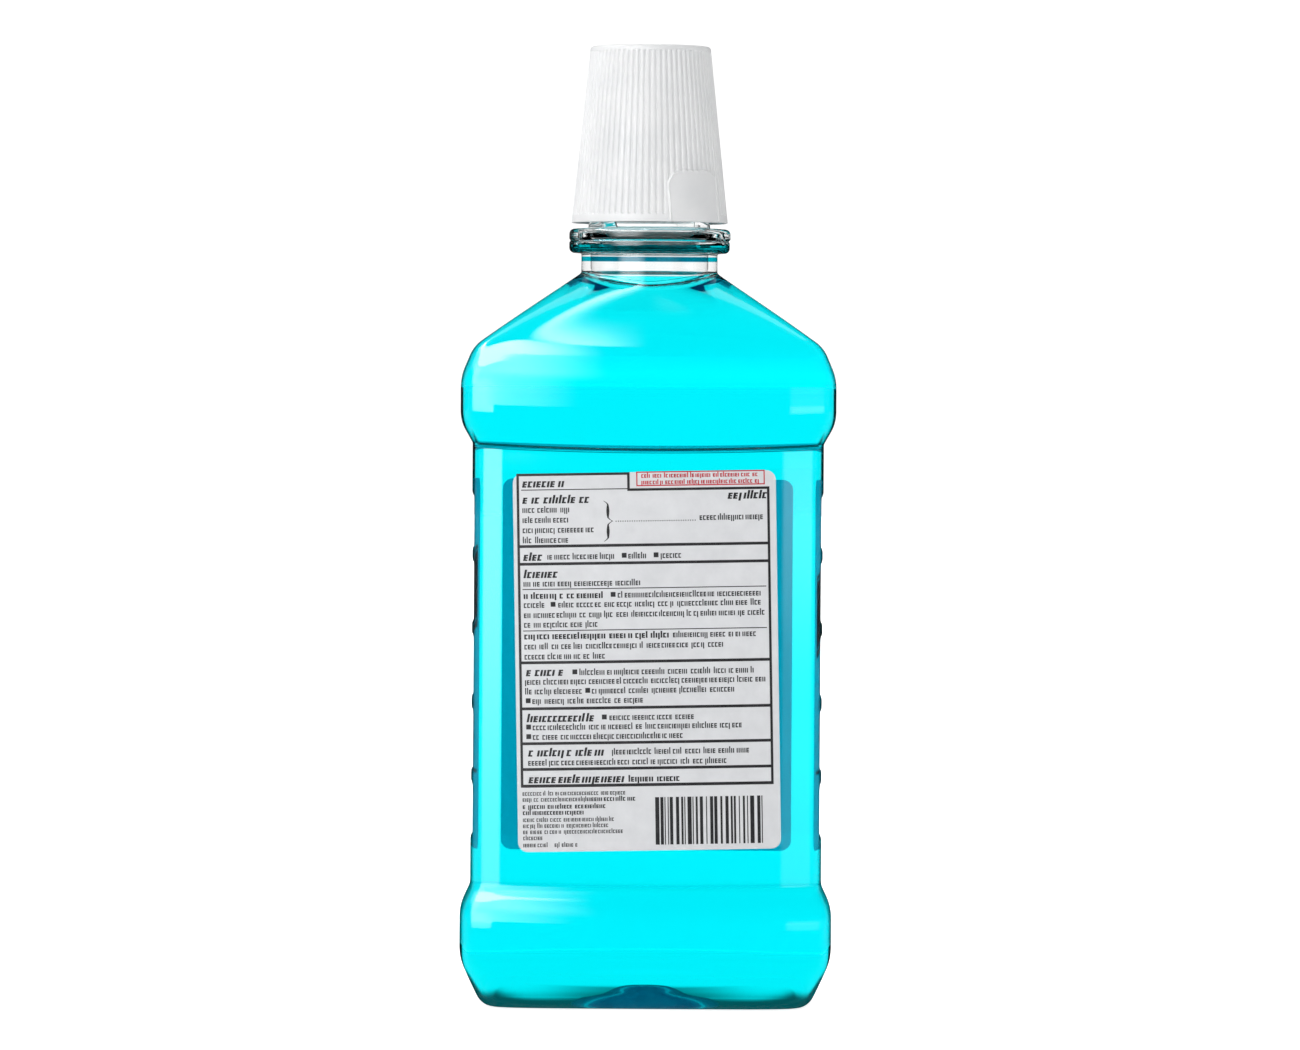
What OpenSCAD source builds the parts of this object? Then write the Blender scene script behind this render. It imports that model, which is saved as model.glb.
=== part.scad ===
// Clear mouthwash bottle with two labels and a squeeze-and-turn dosing cap.
// Millimetres, +Z up, origin on the ground under the middle of the bottle.
// The rear label faces -Y and the front label faces +Y.

/* [Bottle body] */
// Width over the upper band, the widest place
upper_band_w = 102; // [92:0.5:112]
// Depth over the upper band
upper_band_d = 67.5; // [60:0.5:74]
// How far the lower band stays inside the upper one, each side
lower_band_in = 0.5; // [0:0.1:1.5]
// How far the label panel stays inside the upper band, each side
panel_in = 3.3; // [2:0.1:4]
// How far the foot's corner stays inside the lower band, each side
foot_in = 6.2; // [4:0.1:8]
// How far the shoulder's edge stays inside the upper band, each side
shoulder_in = 3.5; // [2:0.1:5]
// Squareness of the section: 2 is an ellipse, higher is squarer
body_squareness = 20; // [14:1:24]
// Squareness of the foot, which is rounder than the body above it
foot_squareness = 7; // [5:0.5:9]
// How far the front and the rear fall away from their middle to the corners
face_crown = 2.8; // [1:0.1:4]
// How far the sides fall away from their middle to the corners
side_crown = 1.5; // [1:0.1:2]
// Wall thickness of the body
wall = 0.9; // [0.6:0.05:1.3]

/* [Body heights] */
// Height of the taper from the foot to the lower band
foot_h = 12.8; // [10:0.1:16]
// Height of the lower band
lower_band_h = 13.8; // [10:0.1:18]
// Height of the step from the lower band to the panel
groove_h = 6; // [5:0.1:8]
// Height of the label panel
panel_h = 118.8; // [112:0.1:126]
// Height of the step from the panel to the upper band
waist_h = 6.6; // [5:0.1:8]
// Height of the upper band
upper_band_h = 12; // [8:0.1:16]
// Height of the bevel from the upper band to the shoulder
shoulder_edge_h = 8.4; // [6:0.1:11]
// Height of the sloping shoulder
shoulder_h = 20; // [16:0.1:24]
// How far the neck's foot dips at the front and the rear
neck_dip = 2.8; // [1:0.1:4]
// How far the waist dips at the front and the rear
waist_dip = 1.3; // [0:0.1:2]
// How far the front and the rear step out at the waist line
waist_ledge = 0.9; // [0.5:0.1:1.2]
// Height of that step
waist_ledge_h = 0.8; // [0.6:0.1:1]
// How far the line under the panel dips at the front and the rear
groove_dip = 0.9; // [0:0.1:1.5]

/* [Base] */
// Width of the raised arch under the base
arch_w = 62.8; // [54:0.2:68]
// Depth of the raised arch under the base
arch_d = 35; // [28:0.2:38]
// Height of the arch above the ground, where it meets the hump
arch_h = 5.5; // [4:0.1:7]
// Diameter of the round hump in the middle of the arch
hump_d = 22; // [16:0.5:26]
// Height of the hump's top above the ground
hump_h = 8; // [7.2:0.1:10]

/* [Side grips] */
// Grip bars on each side wall
grip_count = 4; // [3:1:4]
// Distance from one grip bar to the next
grip_pitch = 20; // [16:0.5:22]
// Height of one grip bar
grip_bar_h = 6.5; // [5:0.1:8]
// Depth of the recess that the bars stand in
grip_recess = 1.2; // [0.8:0.1:1.5]
// How far a bar stands out of the recess
grip_proud = 1.1; // [0.5:0.1:1.2]
// Height of the recess
grip_recess_h = 94; // [90:1:100]

/* [Neck and mouth] */
// Outer diameter of the neck
neck_d = 37; // [35:0.1:38]
// Inner diameter of the neck under the ring
neck_bore_d = 31.6; // [30:0.1:32.4]
// Height of the neck below its ring
neck_h = 5.5; // [4:0.1:7]
// Diameter of the neck ring
ring_d = 44; // [43:0.1:46]
// Thickness of the neck ring
ring_h = 6.5; // [5:0.1:8]
// Edge rounding of the neck ring
ring_round = 1.4; // [0.8:0.1:2]
// Diameter of the plain band above the ring
seat_d = 32.5; // [32:0.1:32.6]
// Height of the plain band above the ring
seat_h = 3.2; // [2.4:0.1:4]
// Diameter of the mouth's wall between its threads
finish_d = 30.4; // [30:0.1:30.8]
// Diameter of the mouth's bore
mouth_bore_d = 26.6; // [25.6:0.1:27]
// Height from the ring's top to the lip
finish_h = 16.6; // [15:0.1:18]

/* [Child lock] */
// Angle of the first squeeze pad from the +X axis
pad_angle = -52; // [-90:1:0]
// Width of a lock lug along the ring, in degrees
lug_arc = 16; // [10:1:24]
// Thickness of a lock lug, outwards
lug_t = 0.85; // [0.7:0.05:0.9]
// Height of a lock lug above the ring
lug_h = 3.6; // [2.5:0.1:4]
// Width of the lower step beside a lock lug, in degrees
lug_step_arc = 15; // [8:1:20]
// Width of the cap's locking tab, in degrees
tab_arc = 9; // [6:1:12]
// Height of the cap's locking tab
tab_h = 3; // [2:0.1:4]

/* [Cap] */
// Diameter of the cap's rim
cap_rim_d = 42.5; // [42:0.1:44]
// Diameter of the cap's top, over the ribs
cap_top_d = 32.6; // [32.2:0.1:34]
// Height of the cap
cap_h = 48; // [45:0.5:51]
// Gap between the ring and the cap's rim
rim_gap = 1.6; // [1.2:0.1:2]
// Wall of the cap's shell, ribs included
shell_t = 1.5; // [1.3:0.05:1.55]
// Thickness of the cap's top
cap_top_t = 1.4; // [1:0.1:2]
// Edge rounding of the cap's top
cap_round = 1; // [0.6:0.1:1.4]
// Grip ribs round the cap
rib_count = 70; // [50:1:76]
// Depth of the grooves between the ribs
rib_depth = 0.45; // [0.3:0.05:0.6]
// Width of a groove at its mouth
rib_gap = 0.9; // [0.6:0.05:1]
// Width of a groove at its floor
rib_floor = 0.3; // [0.2:0.05:0.5]
// Plain band under the ribs
rim_band_h = 2; // [1.5:0.1:3]
// Plain band above the ribs
top_band_h = 1.3; // [1.1:0.1:2]
// Width of a squeeze pad
pad_w = 16.2; // [12:0.1:18]
// Height of a squeeze pad from the rim
pad_h = 13.8; // [10:0.1:16]
// Radius of a squeeze pad's upper corners
pad_corner = 2.6; // [1.5:0.1:4]
// How far a squeeze pad stands out over the ribs
pad_proud = 0.15; // [0.1:0.05:0.3]

/* [Dosing cup] */
// Inner diameter of the cup at its closed end
cup_end_d = 25.2; // [24:0.1:25.6]
// Inner diameter of the cup at its ledge
cup_ledge_d = 27.2; // [26.6:0.1:27.4]
// Wall thickness of the cup
cup_t = 1.1; // [0.9:0.05:1.2]
// Thickness of the ledge and of the cup's closed end
cup_end_t = 1.2; // [1:0.1:1.5]
// Wall thickness of the cup's threaded skirt
skirt_t = 1.2; // [1:0.05:1.25]

/* [Seals] */
// Thickness of the foil seal on the lip
foil_t = 0.2; // [0.1:0.05:0.3]
// Thickness of the sealing ring in the cap
liner_t = 1; // [0.8:0.1:1.4]

/* [Labels] */
// Width of the rear label
rear_label_w = 70.6; // [60:0.2:74]
// Width of the front label
front_label_w = 76.2; // [68:0.2:79]
// Height of both labels
label_h = 101.6; // [90:0.2:106]
// Radius of the labels' corners
label_corner = 2.6; // [1:0.1:5]
// Label thickness
label_t = 0.15; // [0.1:0.01:0.25]
// How far the rear label's middle lies above the panel's middle
label_rise = 1.8; // [-3:0.1:3]
// How far the front label sits below the rear one
front_label_drop = 2.2; // [-1:0.1:4]
// How far the rear label is turned where it was stuck on, in degrees
rear_label_tilt = 1.2; // [-2:0.1:2]

/* [Liquid] */
// How far the liquid's surface lies below the neck's foot
ullage = 1; // [0.5:0.1:3]

/* [Hidden] */
$fn = 96;

// Clearances
piece_gap = 0.1;
running_gap = 0.3;
liner_gap = 0.15;
overrun = 1;

// Heights of the body, from the ground up
band_z = foot_h;
groove_z = band_z + lower_band_h;
panel_z = groove_z + groove_h;
waist_z = panel_z + panel_h;
upper_z = waist_z + waist_h;
bevel_z = upper_z + upper_band_h;
shoulder_z = bevel_z + shoulder_edge_h;
neck_z = shoulder_z + shoulder_h;
panel_mid_z = panel_z + panel_h / 2;
surface_z = neck_z - ullage;

// Heights of the mouth and the cap
ring_z = neck_z + neck_h;
ring_top_z = ring_z + ring_h;
lip_z = ring_top_z + finish_h;
rim_z = ring_top_z + rim_gap;
cap_top_z = rim_z + cap_h;
cap_ceiling_z = cap_top_z - cap_top_t;
liner_z = lip_z + foil_t + liner_gap;
ledge_z = liner_z + liner_t + piece_gap;

// Half sizes of the body's section at its bands
upper_half = [upper_band_w, upper_band_d] / 2;
function inside(by) = upper_half - [by, by];

// Blends where two stretches of the outline meet
foot_blend = 4;
band_blend = 3;
crease_blend = 1.2;
neck_blend = 1.5;
hump_blend = 2;
hump_shoulder = 4.5;
foot_ring_w = 6;
foot_ring_rise = 1;

// Neck of the body shell, sunk in the neck's own turned wall
sleeve_in = 0.15;
sleeve_h = 0.8;
sleeve_r = neck_d / 2 - sleeve_in;
neck_sink = 0.45;
throat_h = 1.8;
throat_flare = 0.8;

// Points round the section, closer together near its corners
section_count = 48;
crowding = 2;
blend_steps = 2;
round_squareness = 2;
grip_depth_share = 0.7;
grip_ramp = 2.4;
grip_flank = 1.5;

// A knot of the outline: half width, half depth, height, squareness, dip and blend
function knot(half, z, squareness, dip, blend) =
    [half[0], half[1], z, squareness, dip, blend];

arch_half = [arch_w, arch_d] / 2;
foot_half = inside(lower_band_in + foot_in);
hump_r = hump_d / 2;
hump_top_r = hump_r - hump_shoulder;

// The outline from the hump under the base, out, up the wall and in to the neck
outline = [
    knot([hump_top_r, hump_top_r], hump_h, round_squareness, 0, 0),
    knot([hump_r, hump_r], arch_h, round_squareness, 0, hump_blend),
    knot(arch_half, foot_ring_rise, (foot_squareness + round_squareness) / 2, 0, band_blend),
    knot(foot_half - [foot_ring_w, foot_ring_w], 0, foot_squareness, 0, 0),
    knot(foot_half, 0, foot_squareness, 0, foot_blend),
    knot(inside(lower_band_in), band_z, body_squareness, 0, band_blend),
    knot(inside(lower_band_in), groove_z, body_squareness, groove_dip, band_blend),
    knot(inside(panel_in), panel_z, body_squareness, groove_dip, crease_blend),
    knot(inside(panel_in), waist_z, body_squareness, waist_dip, crease_blend),
    knot(inside(panel_in) + [0, waist_ledge], waist_z + waist_ledge_h, body_squareness, waist_dip, 0),
    knot(inside(0), upper_z, body_squareness, waist_dip, band_blend),
    knot(inside(0), bevel_z, body_squareness, 0, band_blend),
    knot(inside(shoulder_in), shoulder_z, body_squareness, 0, band_blend),
    knot([sleeve_r, sleeve_r], neck_z, round_squareness, neck_dip, neck_blend),
    knot([sleeve_r, sleeve_r], neck_z + sleeve_h, round_squareness, 0, 0)
];

function place(k) = [k[0], k[1], k[2]];
function towards(p, q, length) = p + (q - p) * min(length / norm(place(q) - place(p)), 0.45);

// Knots with their corners rounded, each by a short parabola
function rounded(knots) = [
    for (i = [0:len(knots) - 1])
        let (k = knots[i], turns = k[5] > 0)
            each turns ? [
                for (s = [0:blend_steps])
                    let (t = s / blend_steps,
                        a = towards(k, knots[i - 1], k[5]),
                        b = towards(k, knots[i + 1], k[5]))
                        a * pow(1 - t, 2) + k * 2 * t * (1 - t) + b * t * t
            ] : [k]
];

// Knots moved into the wall by a distance, square to the outline
function thinned(knots, by) = [
    for (i = [0:len(knots) - 1])
        let (a = knots[max(i - 1, 0)], b = knots[min(i + 1, len(knots) - 1)],
            run = norm([b[0] - a[0], b[2] - a[2]]),
            side = by * (a[2] - b[2]) / run, up = by * (b[0] - a[0]) / run, k = knots[i])
            [k[0] + side, k[1] + side, k[2] + up, k[3], k[4], k[5]]
];

// Heights of the grip bars' middles, and a share that is 1 near one of them
bar_middles = [for (i = [0:grip_count - 1]) panel_mid_z + (i - (grip_count - 1) / 2) * grip_pitch];
function near(z, middle, half, ramp) = max(0, min(1, (half - abs(z - middle)) / ramp));
function recess_here(z) = grip_recess * near(z, panel_mid_z, grip_recess_h / 2, grip_ramp);
function bars_here(z) =
    grip_proud * max([for (middle = bar_middles) near(z, middle, grip_bar_h / 2, grip_flank)]);

// Heights at which the recess or a bar turns a corner
function corners(middle, half, ramp) = [
    middle - half, middle - half + ramp, middle + half - ramp, middle + half
];
recess_corners = corners(panel_mid_z, grip_recess_h / 2, grip_ramp);
bar_corners = [for (middle = bar_middles) each corners(middle, grip_bar_h / 2, grip_flank)];
function sorted(v) = len(v) < 2 ? v :
    let (p = v[0], rest = [for (i = [1:len(v) - 1]) v[i]])
        concat(sorted([for (x = rest) if (x < p) x]), [p], sorted([for (x = rest) if (x >= p) x]));

// The rounded outline with rings added for the grips
function with_grips(knots, heights) =
    let (low = [for (k = knots) if (k[2] < panel_mid_z) k],
        high = [for (k = knots) if (k[2] >= panel_mid_z) k], k = low[len(low) - 1])
        concat(low, [for (z = sorted(heights)) [k[0], k[1], z, k[3], 0, 0]], high);

// Angles of the section's points on a square, from +X round, with its corners at 45 degrees
side_count = section_count / 8;
turns = [
    for (quarter = [0:3], i = [0:2 * side_count - 1])
        let (t = i / side_count - 1) 90 * quarter + 45 * (1 + sign(t) * pow(abs(t), crowding))
];

// A point of the section as shares of its half width and half depth
function unit_point(squareness, a) =
    [cos(a), sin(a)] * pow(pow(abs(cos(a)), squareness) + pow(abs(sin(a)), squareness), -1 / squareness);

// The sides and the faces are crowned, less where the section is rounder
crown_shares = [side_crown / upper_half[0], face_crown / upper_half[1]];
function crown(k) = crown_shares * (k[3] - round_squareness) / (body_squareness - round_squareness);
function section_point(k, u) = [
    k[0] * u[0] * (1 - crown(k)[0] * pow(u[1], 2)),
    k[1] * u[1] * (1 - crown(k)[1] * pow(u[0], 2))
];

// One ring of points at a knot of the outline
function gripped(u) = abs(u[1]) < grip_depth_share ? sign(u[0]) : 0;
function ring(k, bars, ceiling) = [
    for (a = turns)
        let (u = unit_point(k[3], a), p = section_point(k, u),
            in = recess_here(k[2]) - (bars ? bars_here(k[2]) : 0))
            [p[0] - in * gripped(u), p[1], min(k[2] - k[4] * (1 - pow(u[0], 2)), ceiling)]
];

// Two triangles between the rings, parted along the shorter diagonal
function parted(points, a, b, c, d) = norm(points[a] - points[d]) < norm(points[b] - points[c])
    ? [[a, d, b], [a, c, d]]
    : [[a, c, b], [b, c, d]];

// A closed solid through rings that run from the ground's middle outwards
module skin(rings) {
    n = section_count;
    last = len(rings) - 1;
    points = [for (r = rings) each r];
    polyhedron(
        points = points,
        faces = concat(
            [[for (j = [0:n - 1]) j]],
            [[for (j = [n - 1:-1:0]) last * n + j]],
            [for (i = [0:last - 1], j = [0:n - 1])
                let (k = (j + 1) % n)
                    each parted(points, i * n + j, i * n + k, (i + 1) * n + j, (i + 1) * n + k)]
        ),
        convexity = 6);
}

function but_last(v) = [for (i = [0:len(v) - 2]) v[i]];
function reversed(v) = [for (i = [len(v) - 1:-1:0]) v[i]];

module body_shell() {
    outer = with_grips(rounded(outline), concat(recess_corners, bar_corners));
    inner = thinned(outer, wall);
    skin([for (k = concat(outer, reversed(inner))) ring(k, true, lip_z)]);
}

// The turned neck: wall, ring, plain band and mouth, open from top to bottom
module neck_wall() {
    r = ring_round;
    rotate_extrude() difference() {
        union() {
            translate([0, neck_z - neck_sink]) square([neck_d / 2, neck_h + ring_h / 2]);
            translate([0, ring_z]) square([ring_d / 2 - r, ring_h]);
            translate([0, ring_z + r]) square([ring_d / 2, ring_h - 2 * r]);
            for (z = [ring_z + r, ring_top_z - r])
                translate([ring_d / 2 - r, z]) circle(r);
            translate([0, ring_z]) square([seat_d / 2, ring_h + seat_h]);
            translate([0, ring_z]) square([finish_d / 2, lip_z - ring_z]);
        }
        translate([-overrun, 0]) square([mouth_bore_d / 2 + overrun, lip_z + overrun]);
        polygon([
            [0, neck_z - throat_h],
            [neck_bore_d / 2 + throat_flare, neck_z - throat_h],
            [neck_bore_d / 2, neck_z + throat_h],
            [neck_bore_d / 2, ring_z],
            [mouth_bore_d / 2, ring_top_z],
            [0, ring_top_z]
        ]);
    }
}

// Inside of the cup's skirt, which passes over the plain band and the mouth's wall
skirt_r = max(seat_d, finish_d) / 2 + running_gap;
lug_r = skirt_r + skirt_t + running_gap;
lug_step_share = 0.5;
tab_slack = 2;

// Two lugs on the ring, each with a lower step that the tab rides over first
module lock_lugs() {
    for (turn = [0, 180]) rotate(pad_angle + 90 + turn - lug_arc / 2) difference() {
        rotate_extrude(angle = lug_arc + lug_step_arc)
            translate([lug_r, ring_top_z - ring_round]) square([lug_t, lug_h + ring_round]);
        rotate(lug_arc) rotate_extrude(angle = 2 * lug_step_arc)
            translate([lug_r - overrun, ring_top_z + lug_h * lug_step_share])
                square([lug_t + 2 * overrun, lug_h]);
    }
}

module bottle() {
    color("paleturquoise", 0.5) {
        body_shell();
        neck_wall();
        lock_lugs();
    }
}

// The liquid fills the body up to the foot of the neck, but not the grip bars
module liquid() {
    knots = thinned(with_grips(rounded(outline), recess_corners), wall + piece_gap);
    middle = sleeve_r - wall - running_gap;
    top = knot([middle, middle], surface_z, round_squareness, 0, 0);
    color("cyan", 0.8)
        skin([for (k = concat(but_last(knots), [top])) ring(k, false, surface_z)]);
}

// A rounded rectangle round the origin
module plate(w, h, r) {
    square([w - 2 * r, h], center = true);
    square([w, h - 2 * r], center = true);
    for (x = [-1, 1], y = [-1, 1]) translate([x * (w / 2 - r), y * (h / 2 - r)]) circle(r);
}

// Points on the panel's section between two angles, a distance outside it
function panel_line(from, to, out) =
    let (half = inside(panel_in - out), k = [half[0], half[1], 0, body_squareness])
        [for (a = turns) if (a > from && a < to) section_point(k, unit_point(k[3], a))];

label_half_turn = 44;

// A label that follows the panel, facing the given angle
module label(facing, w, tilt, rise) {
    skin_in = panel_line(facing - label_half_turn, facing + label_half_turn, piece_gap / 2);
    skin_out = panel_line(facing - label_half_turn, facing + label_half_turn,
        piece_gap / 2 + label_t);
    intersection() {
        translate([0, 0, panel_z]) linear_extrude(panel_h)
            polygon(concat(skin_in, reversed(skin_out)));
        translate([0, 0, panel_mid_z + rise]) rotate([0, -tilt, 0])
            rotate([90, 0, facing + 90]) linear_extrude(upper_band_d)
                plate(w, label_h, label_corner);
    }
}

module front_label() {
    color("teal") label(90, front_label_w, 0, label_rise - front_label_drop);
}

module rear_label() {
    color("whitesmoke") label(270, rear_label_w, rear_label_tilt, label_rise);
}

module mouth_seal() {
    color("silver") translate([0, 0, lip_z]) cylinder(r = finish_d / 2 - piece_gap, h = foil_t);
}

module sealing_ring() {
    color("white") translate([0, 0, liner_z]) difference() {
        cylinder(r = skirt_r - running_gap, h = liner_t);
        translate([0, 0, -overrun])
            cylinder(r = cup_ledge_d / 2 + piece_gap, h = liner_t + 2 * overrun);
    }
}

// The cup opens downwards. Its skirt goes over the mouth and its ledge seals the lip
module dosing_cup() {
    cup_top_z = cap_ceiling_z - cup_end_t;
    color("ghostwhite") rotate_extrude() polygon([
        [0, cup_top_z],
        [cup_end_d / 2, cup_top_z],
        [cup_ledge_d / 2, ledge_z],
        [skirt_r, ledge_z],
        [skirt_r, rim_z + rim_gap],
        [skirt_r + skirt_t, rim_z + rim_gap],
        [skirt_r + skirt_t, ledge_z + cup_end_t],
        [cup_ledge_d / 2 + cup_t, ledge_z + cup_end_t],
        [cup_end_d / 2 + cup_t, cap_ceiling_z],
        [0, cap_ceiling_z]
    ]);
}

cap_taper = (cap_rim_d - cap_top_d) / 2 / cap_h;
function cap_r(z) = cap_rim_d / 2 - (z - rim_z) * cap_taper;

module groove() {
    length = cap_h - rim_band_h - top_band_h;
    translate([cap_r(rim_z + rim_band_h), 0, rim_z + rim_band_h]) rotate([0, -atan(cap_taper), 0])
        linear_extrude(length / cos(atan(cap_taper))) polygon([
            [-rib_depth, -rib_floor / 2],
            [rib_depth, -rib_gap],
            [rib_depth, rib_gap],
            [-rib_depth, rib_floor / 2]
        ]);
}

// Two smooth pads to squeeze, which fill the grooves behind them
module squeeze_pads() {
    for (turn = [0, 180]) rotate(pad_angle + turn) intersection() {
        rotate_extrude() polygon([
            [cap_r(rim_z) - shell_t / 2, rim_z],
            [cap_r(rim_z) + pad_proud, rim_z + rim_band_h / 2],
            [cap_r(rim_z + pad_h) + pad_proud, rim_z + pad_h],
            [cap_r(rim_z + pad_h) - shell_t / 2, rim_z + pad_h]
        ]);
        translate([0, 0, rim_z]) rotate([90, 0, 90]) linear_extrude(cap_rim_d)
            plate(pad_w, 2 * pad_h, pad_corner);
    }
}

module cap_blank() {
    shoulder = cap_top_z - cap_round;
    rotate_extrude() {
        polygon([
            [0, rim_z],
            [cap_r(rim_z), rim_z],
            [cap_r(shoulder), shoulder],
            [0, shoulder]
        ]);
        translate([0, shoulder - cap_round]) square([cap_r(shoulder) - cap_round, 2 * cap_round]);
        translate([cap_r(shoulder) - cap_round, shoulder]) circle(cap_round);
    }
}

module cap_cavity() {
    rotate_extrude() polygon([
        [0, rim_z - overrun],
        [cap_r(rim_z - overrun) - shell_t, rim_z - overrun],
        [cap_r(cap_ceiling_z) - shell_t, cap_ceiling_z],
        [0, cap_ceiling_z]
    ]);
}

// Two tabs inside the rim that stop behind the lugs until the pads are squeezed
module lock_tabs() {
    r = lug_r + lug_t + running_gap;
    reach = cap_r(rim_z + tab_h) - shell_t / 2 - r;
    for (turn = [0, 180])
        rotate(pad_angle + 90 + turn - lug_arc / 2 - tab_arc - tab_slack)
            rotate_extrude(angle = tab_arc)
                translate([r, rim_z + rim_band_h / 2]) square([reach, tab_h]);
}

module cap_shell() {
    color("white") {
        difference() {
            union() {
                difference() {
                    cap_blank();
                    for (i = [0:rib_count - 1]) rotate(360 * i / rib_count) groove();
                }
                squeeze_pads();
            }
            cap_cavity();
        }
        lock_tabs();
    }
}

bottle();
liquid();
front_label();
rear_label();
mouth_seal();
sealing_ring();
dosing_cup();
cap_shell();
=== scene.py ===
import math
import random

import bpy
from mathutils import Matrix, Vector

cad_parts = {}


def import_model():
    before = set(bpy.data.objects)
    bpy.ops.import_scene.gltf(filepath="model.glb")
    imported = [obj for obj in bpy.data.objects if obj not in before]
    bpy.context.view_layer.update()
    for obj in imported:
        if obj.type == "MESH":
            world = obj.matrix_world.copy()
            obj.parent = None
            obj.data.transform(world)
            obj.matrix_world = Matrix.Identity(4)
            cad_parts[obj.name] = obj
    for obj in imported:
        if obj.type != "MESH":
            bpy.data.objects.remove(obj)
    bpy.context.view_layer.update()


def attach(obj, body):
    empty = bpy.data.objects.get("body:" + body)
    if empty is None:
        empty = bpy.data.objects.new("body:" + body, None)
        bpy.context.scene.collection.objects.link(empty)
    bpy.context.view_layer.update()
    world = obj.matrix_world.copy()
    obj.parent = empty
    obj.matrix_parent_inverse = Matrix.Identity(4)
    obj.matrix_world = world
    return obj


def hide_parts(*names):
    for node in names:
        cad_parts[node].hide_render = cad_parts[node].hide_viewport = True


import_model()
MM = 0.001

# Sizes as in the CAD source, in mm. "In" is how far a part of the body stands in from its box.
HALF_W, HALF_D = 51.0, 33.75
LOWER_IN, PANEL_IN, FOOT_IN, SHOULDER_IN = 0.5, 3.3, 6.2, 3.5
ROUND, FOOT_SQUARE, SQUARE = 2.0, 7.0, 20.0
CROWN, SIDE_CROWN = 2.8 / HALF_D, 1.5 / HALF_W
WALL = 0.9
ARCH_Z, ARCH_EDGE = 8.15, (31.4, 17.5)
BAND_Z = 12.8
GROOVE_Z = BAND_Z + 13.8
PANEL_Z, PANEL_H = GROOVE_Z + 6.0, 118.8
MID_Z = PANEL_Z + PANEL_H / 2
WAIST_Z = PANEL_Z + PANEL_H
UPPER_Z = WAIST_Z + 6.6
BEVEL_Z = UPPER_Z + 12.0
SHOULDER_Z = BEVEL_Z + 8.4
NECK_Z = SHOULDER_Z + 20.0
NECK_DIP, WAIST_DIP, GROOVE_DIP = 2.8, 1.3, 0.9
LEDGE, LEDGE_H = 0.9, 0.8
NECK_R, BORE_R = 18.5, 15.8
RING_Z = NECK_Z + 5.5
RING_TOP = RING_Z + 6.5
RING_R, RING_ROUND = 22.0, 1.4
LIP_Z, LIP_ROUND = RING_TOP + 16.6, 0.5
SEAT_R, FINISH_R, MOUTH_R = 16.25, 15.2, 13.3
SURFACE_Z = NECK_Z - 1.0
RIM_Z = RING_TOP + 1.6
CAP_H, CAP_RIM_D, CAP_TOP_D, CAP_WALL = 48.0, 42.5, 32.6, 1.5
CAP_TOP = RIM_Z + CAP_H
CAP_CEILING = CAP_TOP - 1.4
TAPER = (CAP_RIM_D - CAP_TOP_D) / 2 / CAP_H
RIBS, RIB_DEPTH = 70, 0.45
PAD_TURN, PAD_HALF, PAD_H, PAD_CORNER = -52.0, 8.1, 13.8, 4.0

# The lock lugs: height of the full step and of the low one beside it, and where they end, in
# degrees from the middle of the full step
LUG_H, LOW_LUG_H, LUG_HALF, LOW_LUG_END = 3.6, 1.8, 8, 23

# Only in the visual model: the threads (height of the bead, its start over the ring and its
# turns), how far the liquid reaches into the wall, so that no air shows between them, and where
# the haze plate lies in the wall
LEAD = 4.2
NECK_THREAD, CUP_THREAD = (0.95, 6.2, 1.6), (0.8, 4.3, 2.2)
INTO_WALL = 0.25
HAZE_FROM, HAZE_TO = 0.28, 0.44

# How fine the meshes are
AROUND = 208
TURNED = 180
FINE = 8
CROWDING = 1.8


def smooth(t):
    t = min(max(t, 0.0), 1.0)
    return t * t * (3 - 2 * t)


def mix(a, b, t):
    return [x + (y - x) * t for x, y in zip(a, b)]


# Meshes
def mesh_object(name, verts, faces, sharp):
    """An object from points in mm. Edges sharper than that, in degrees, aren't shaded smooth."""
    me = bpy.data.meshes.new(name)
    me.from_pydata([(x * MM, y * MM, z * MM) for x, y, z in verts], [], faces)
    me.validate()
    me.update()
    me.polygons.foreach_set("use_smooth", [True] * len(me.polygons))
    if sharp:
        me.set_sharp_from_angle(angle=math.radians(sharp))
    obj = bpy.data.objects.new(name, me)
    bpy.context.scene.collection.objects.link(obj)
    return obj


def loft(rings, first=None, last=None):
    """Vertices and faces through closed rings; first and last are the middles of the end caps."""
    n = len(rings[0])
    verts = [p for r in rings for p in r]
    faces = []
    for i in range(len(rings) - 1):
        a, b = i * n, (i + 1) * n
        for j in range(n):
            k = (j + 1) % n
            faces.append((a + j, a + k, b + k, b + j))
    if first is not None:
        verts.append(first)
        c = len(verts) - 1
        faces += [(c, (j + 1) % n, j) for j in range(n)]
    if last is not None:
        verts.append(last)
        c, a = len(verts) - 1, (len(rings) - 1) * n
        faces += [(c, a + j, a + (j + 1) % n) for j in range(n)]
    return verts, faces


def closed_loft(rings):
    """A ring of rings: the last one joins the first one."""
    n, m = len(rings[0]), len(rings)
    verts = [p for r in rings for p in r]
    faces = []
    for i in range(m):
        a, b = i * n, ((i + 1) % m) * n
        for j in range(n):
            k = (j + 1) % n
            faces.append((a + j, a + k, b + k, b + j))
    return verts, faces


def join(*parts):
    verts, faces = [], []
    for v, f in parts:
        base = len(verts)
        verts += v
        faces += [tuple(i + base for i in face) for face in f]
    return verts, faces


def circle(r, z, n=None):
    """A ring of points. r and z are numbers or functions of the angle in radians."""
    out = []
    for a in [2 * math.pi * j / n for j in range(n)] if n else TURNS:
        rr = r(a) if callable(r) else r
        zz = z(a) if callable(z) else z
        out.append((rr * math.cos(a), rr * math.sin(a), zz))
    return out


def circles(profile, n=None):
    return [circle(r, z, n) for r, z in profile]


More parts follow.
